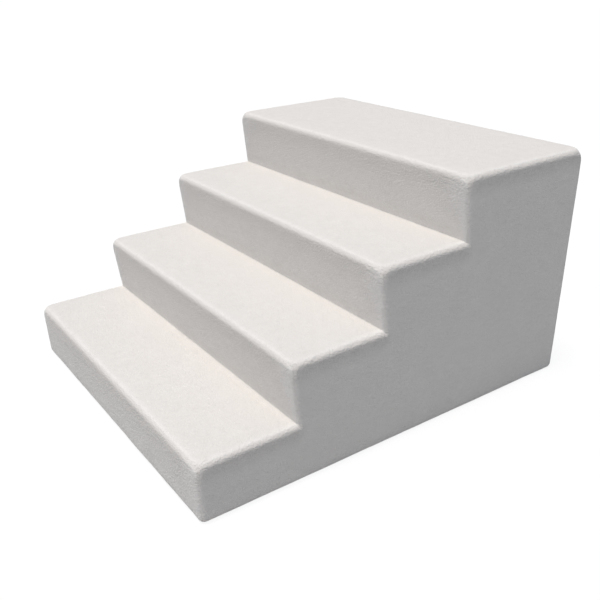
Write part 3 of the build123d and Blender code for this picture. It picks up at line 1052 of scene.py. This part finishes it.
# %% [markdown]
# ## Foam
# Four slabs make the core, and a softer pad lies on each tread. Foam is cut with a hot wire, so its
# faces are slightly uneven, and its outer edges are trimmed round to fill the cover. The closed zip
# presses a groove into the lowest slab.

# %% A block of foam
FOAM_STEP = 0.012
FOAM_WAVE = 0.00018
FOAM_WAVE_SIZE = 0.030
FOAM_WELD = 5e-5
FOAM_ROUND_STEPS = 3
GROOVE_DEPTH = 0.0024
GROOVE_SLOPE = {"ends": 0.001, "sides": 0.0005}


def foam_lines(low, high, low_radius, high_radius):
    """Places along one side of a foam block, fine in its two roundings."""
    first = round_in(low, 1, low_radius, FOAM_ROUND_STEPS)
    last = round_in(high, -1, high_radius, FOAM_ROUND_STEPS)
    return joined(first, even(low + low_radius, high - high_radius, FOAM_STEP), last)


def foam_block(name, node, material, low, high, low_radii, high_radii, groove=False):
    """A block with its own rounding on each of its six sides, leant with the risers."""
    low, high = np.array(low), np.array(high)
    low_radii, high_radii = np.array(low_radii), np.array(high_radii)
    lines = [foam_lines(*ends) for ends in zip(low, high, low_radii, high_radii)]
    if groove:
        for axis, ends, slope in [(0, slit_ends, "ends"), (2, (slit_low, slit_high), "sides")]:
            edges = [end + way * GROOVE_SLOPE[slope] for end in ends for way in (-1, 1)]
            lines[axis] = joined(lines[axis], edges)
    mesh = bmesh.new()
    for axis in range(3):
        for place in (lines[axis][0], lines[axis][-1]):
            runs = list(lines)
            runs[axis] = place
            points = grid(*runs)
            inner = np.clip(points, low + low_radii, high - high_radii)
            out = points - inner
            radii = np.where(out < 0, low_radii, high_radii)
            unit = out / radii
            unit /= np.linalg.norm(unit, axis=-1, keepdims=True)
            shaped = inner + unit * radii
            if groove:
                pressed = from_slit(points[..., 0], points[..., 2]) == 0
                shaped[..., 1] -= GROOVE_DEPTH * (pressed & (points[..., 1] > high[1] - SAME_PLACE))
            uneven = FOAM_WAVE * (noise_over(points, FOAM_WAVE_SIZE) - 1)
            shaped = leant(shaped + unit * uneven[..., None])
            fill_grid(mesh, [[mesh.verts.new(point) for point in row] for row in shaped])
    bmesh.ops.remove_doubles(mesh, verts=mesh.verts, dist=FOAM_WELD)
    bmesh.ops.recalc_face_normals(mesh, faces=mesh.faces)
    piece = piece_from(mesh, name, material)
    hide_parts(node)
    return piece


print("the groove is", GROOVE_DEPTH * 1000, "mm deep")

# %% Slabs and pads
PAD_THICKNESS = 0.020
CUT_EDGE = 0.0008
soft_edge = EDGE_RADIUS - FOAM_GAP
foam_half, foam_back = half_width - FOAM_GAP, back - FOAM_GAP
slab_nodes = ("base_slab", "second_slab", "third_slab", "top_slab")
for step, (name, node) in enumerate(zip(SLABS, slab_nodes)):
    foam_front = noses[step] + FOAM_GAP
    pad_top = levels[step] - FOAM_GAP
    slab_top = pad_top - PAD_THICKNESS
    slab_bottom = slab_top - rise if step else base_high.z
    foot_edge = CUT_EDGE if step else soft_edge
    foam_block(name, node, core_foam, (-foam_half, foam_front, slab_bottom),
               (foam_half, foam_back, slab_top), (soft_edge, soft_edge, foot_edge),
               (soft_edge, soft_edge, CUT_EDGE), groove=step == 0)
    pad_back = foam_back if step == TOP else noses[step + 1] + FOAM_GAP
    rear_edge = soft_edge if step == TOP else CUT_EDGE
    foam_block(PADS[step], f"tread_pad_{step + 1}", pad_foam,
               (-foam_half, foam_front, slab_top), (foam_half, pad_back, pad_top),
               (soft_edge, soft_edge, CUT_EDGE), (soft_edge, rear_edge, soft_edge))
print("foam blocks:", 2 * STEP_COUNT)

# %% [markdown]
# ## Finish of the solids that stay
# The teeth, the stops, the slider and its pull are rigid, and their shapes are right as they are.
# They only need their materials.

# %% Materials of the carried-over solids
TEETH = ("zip_teeth_upper", "zip_teeth_lower")
METAL = ("zip_slider", "zip_pull", "zip_top_stops", "zip_bottom_stop")
for name in TEETH + METAL:
    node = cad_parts[name]
    node.data.materials.clear()
    node.data.materials.append(tooth_plastic if name in TEETH else painted_metal)
print("rigid solids finished:", len(TEETH + METAL))

# %% [markdown]
# ## Studio
# A pale floor that reads as pure white to the camera but keeps a soft shadow, one broad lamp almost
# straight above and slightly to the front, and very little light from anywhere else. The floor
# itself lights the upright faces, as a white table does.

# %% Floor
FLOOR_SIZE = 60.0
FLOOR_CELLS = 8
FLOOR_DROP = 0.0005
FLOOR_BOUNCE = shade(0.565, 0.56, 0.55)
FLOOR_GLOW = 0.91
FLOOR_LIT = shade(0.11, 0.11, 0.11)


def camera_share(field):
    """1 for what the camera sees, straight on or in a mirror or glass, and 0 for other light."""
    camera, glossy, through = (field.node("ShaderNodeLightPath", {}, {}, f"Is {kind} Ray")
                               for kind in ("Camera", "Glossy", "Transmission"))
    return (camera + glossy + through).clamped()


def floor_recipe(place):
    seen = camera_share(place)
    glow = seen.mixed(shade(0, 0, 0), shade(FLOOR_GLOW, FLOOR_GLOW, FLOOR_GLOW))
    return {"Base Color": seen.mixed(FLOOR_BOUNCE, FLOOR_LIT), "Emission Color": glow}


floor_mesh = bmesh.new()
bmesh.ops.create_grid(floor_mesh, x_segments=FLOOR_CELLS, y_segments=FLOOR_CELLS,
                      size=FLOOR_SIZE / 2)
floor = meshed("floor", floor_mesh)
floor_mesh.free()
floor.data.materials.append(finish("floor", floor_recipe, Roughness=1.0, Specular_IOR_Level=0.0,
                                   Emission_Strength=1.0))
floor.location.z = -FLOOR_DROP
floor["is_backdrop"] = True
print("floor shows at", FLOOR_GLOW, "plus what the lamp adds to", FLOOR_LIT[0])

# %% World
AMBIENT = shade(0.172, 0.208, 0.262)
WHITE = shade(1.0, 1.0, 1.0)

world = bpy.data.worlds.new("studio")
bpy.context.scene.world = world
world.use_nodes = True
tree = world.node_tree
sky = camera_share(Field(tree)).mixed(AMBIENT, WHITE)
tree.links.new(sky.output, tree.nodes["Background"].inputs["Color"])
print("light from around:", AMBIENT[:3])

# %% Lamp
LAMP_TILT = math.radians(12.3)
LAMP_SPREAD = math.radians(22)
LAMP_LEVEL = 0.835
LAMP_TINT = (1.045, 1.0, 0.95)

lamp_data = bpy.data.lights.new("overhead", "SUN")
lamp_data.energy = LAMP_LEVEL * math.pi
lamp_data.angle = LAMP_SPREAD
lamp_data.color = LAMP_TINT
lamp = placed("overhead", lamp_data)
lamp.rotation_euler = (LAMP_TILT, 0, 0)
print("lamp leans", round(math.degrees(LAMP_TILT), 1), "degrees to the front")

# %% [markdown]
# ## Camera
# The camera stands to the right of the lowest step and looks down over it. Its lens is slightly
# longer than normal, and it leans a little, as a hand-held one does.

# %% Camera
CAMERA_PLACE = Vector((1.0484, -0.6782, 0.6926))
CAMERA_AZIMUTH = math.radians(56.340)
CAMERA_ELEVATION = math.radians(29.153)
CAMERA_LEAN = math.radians(-1.906)
CAMERA_LENS = 44.54
CAMERA_SHIFT = 0.1
CAMERA_REACH = 200

forward = Vector((-math.sin(CAMERA_AZIMUTH) * math.cos(CAMERA_ELEVATION),
                  math.cos(CAMERA_AZIMUTH) * math.cos(CAMERA_ELEVATION), -math.sin(CAMERA_ELEVATION)))
level_right = Vector((math.cos(CAMERA_AZIMUTH), math.sin(CAMERA_AZIMUTH), 0))
level_up = level_right.cross(forward)
right = level_right * math.cos(CAMERA_LEAN) + level_up * math.sin(CAMERA_LEAN)
up = right.cross(forward)
camera_data = bpy.data.cameras.new("camera")
camera_data.lens = CAMERA_LENS
camera_data.shift_y = CAMERA_SHIFT
camera_data.clip_end = CAMERA_REACH
camera = placed("camera", camera_data)
camera.matrix_world = Matrix((right, up, -forward)).transposed().to_4x4()
camera.location = CAMERA_PLACE
bpy.context.scene.camera = camera
bpy.context.scene.view_settings.view_transform = "Standard"
print("camera looks along", [round(value, 3) for value in forward])

# %% [markdown]
# ## Compare the sizes
# The box of the solids and the box of the dressed model are compared, and the difference between
# their corners is printed in millimetres.

# %% Sizes
visual_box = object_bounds()
growth = [(b - a) * 1000 for corners in zip(cad_box, visual_box) for a, b in zip(*corners)]
print("grown by", [round(distance, 1) for distance in growth], "mm")
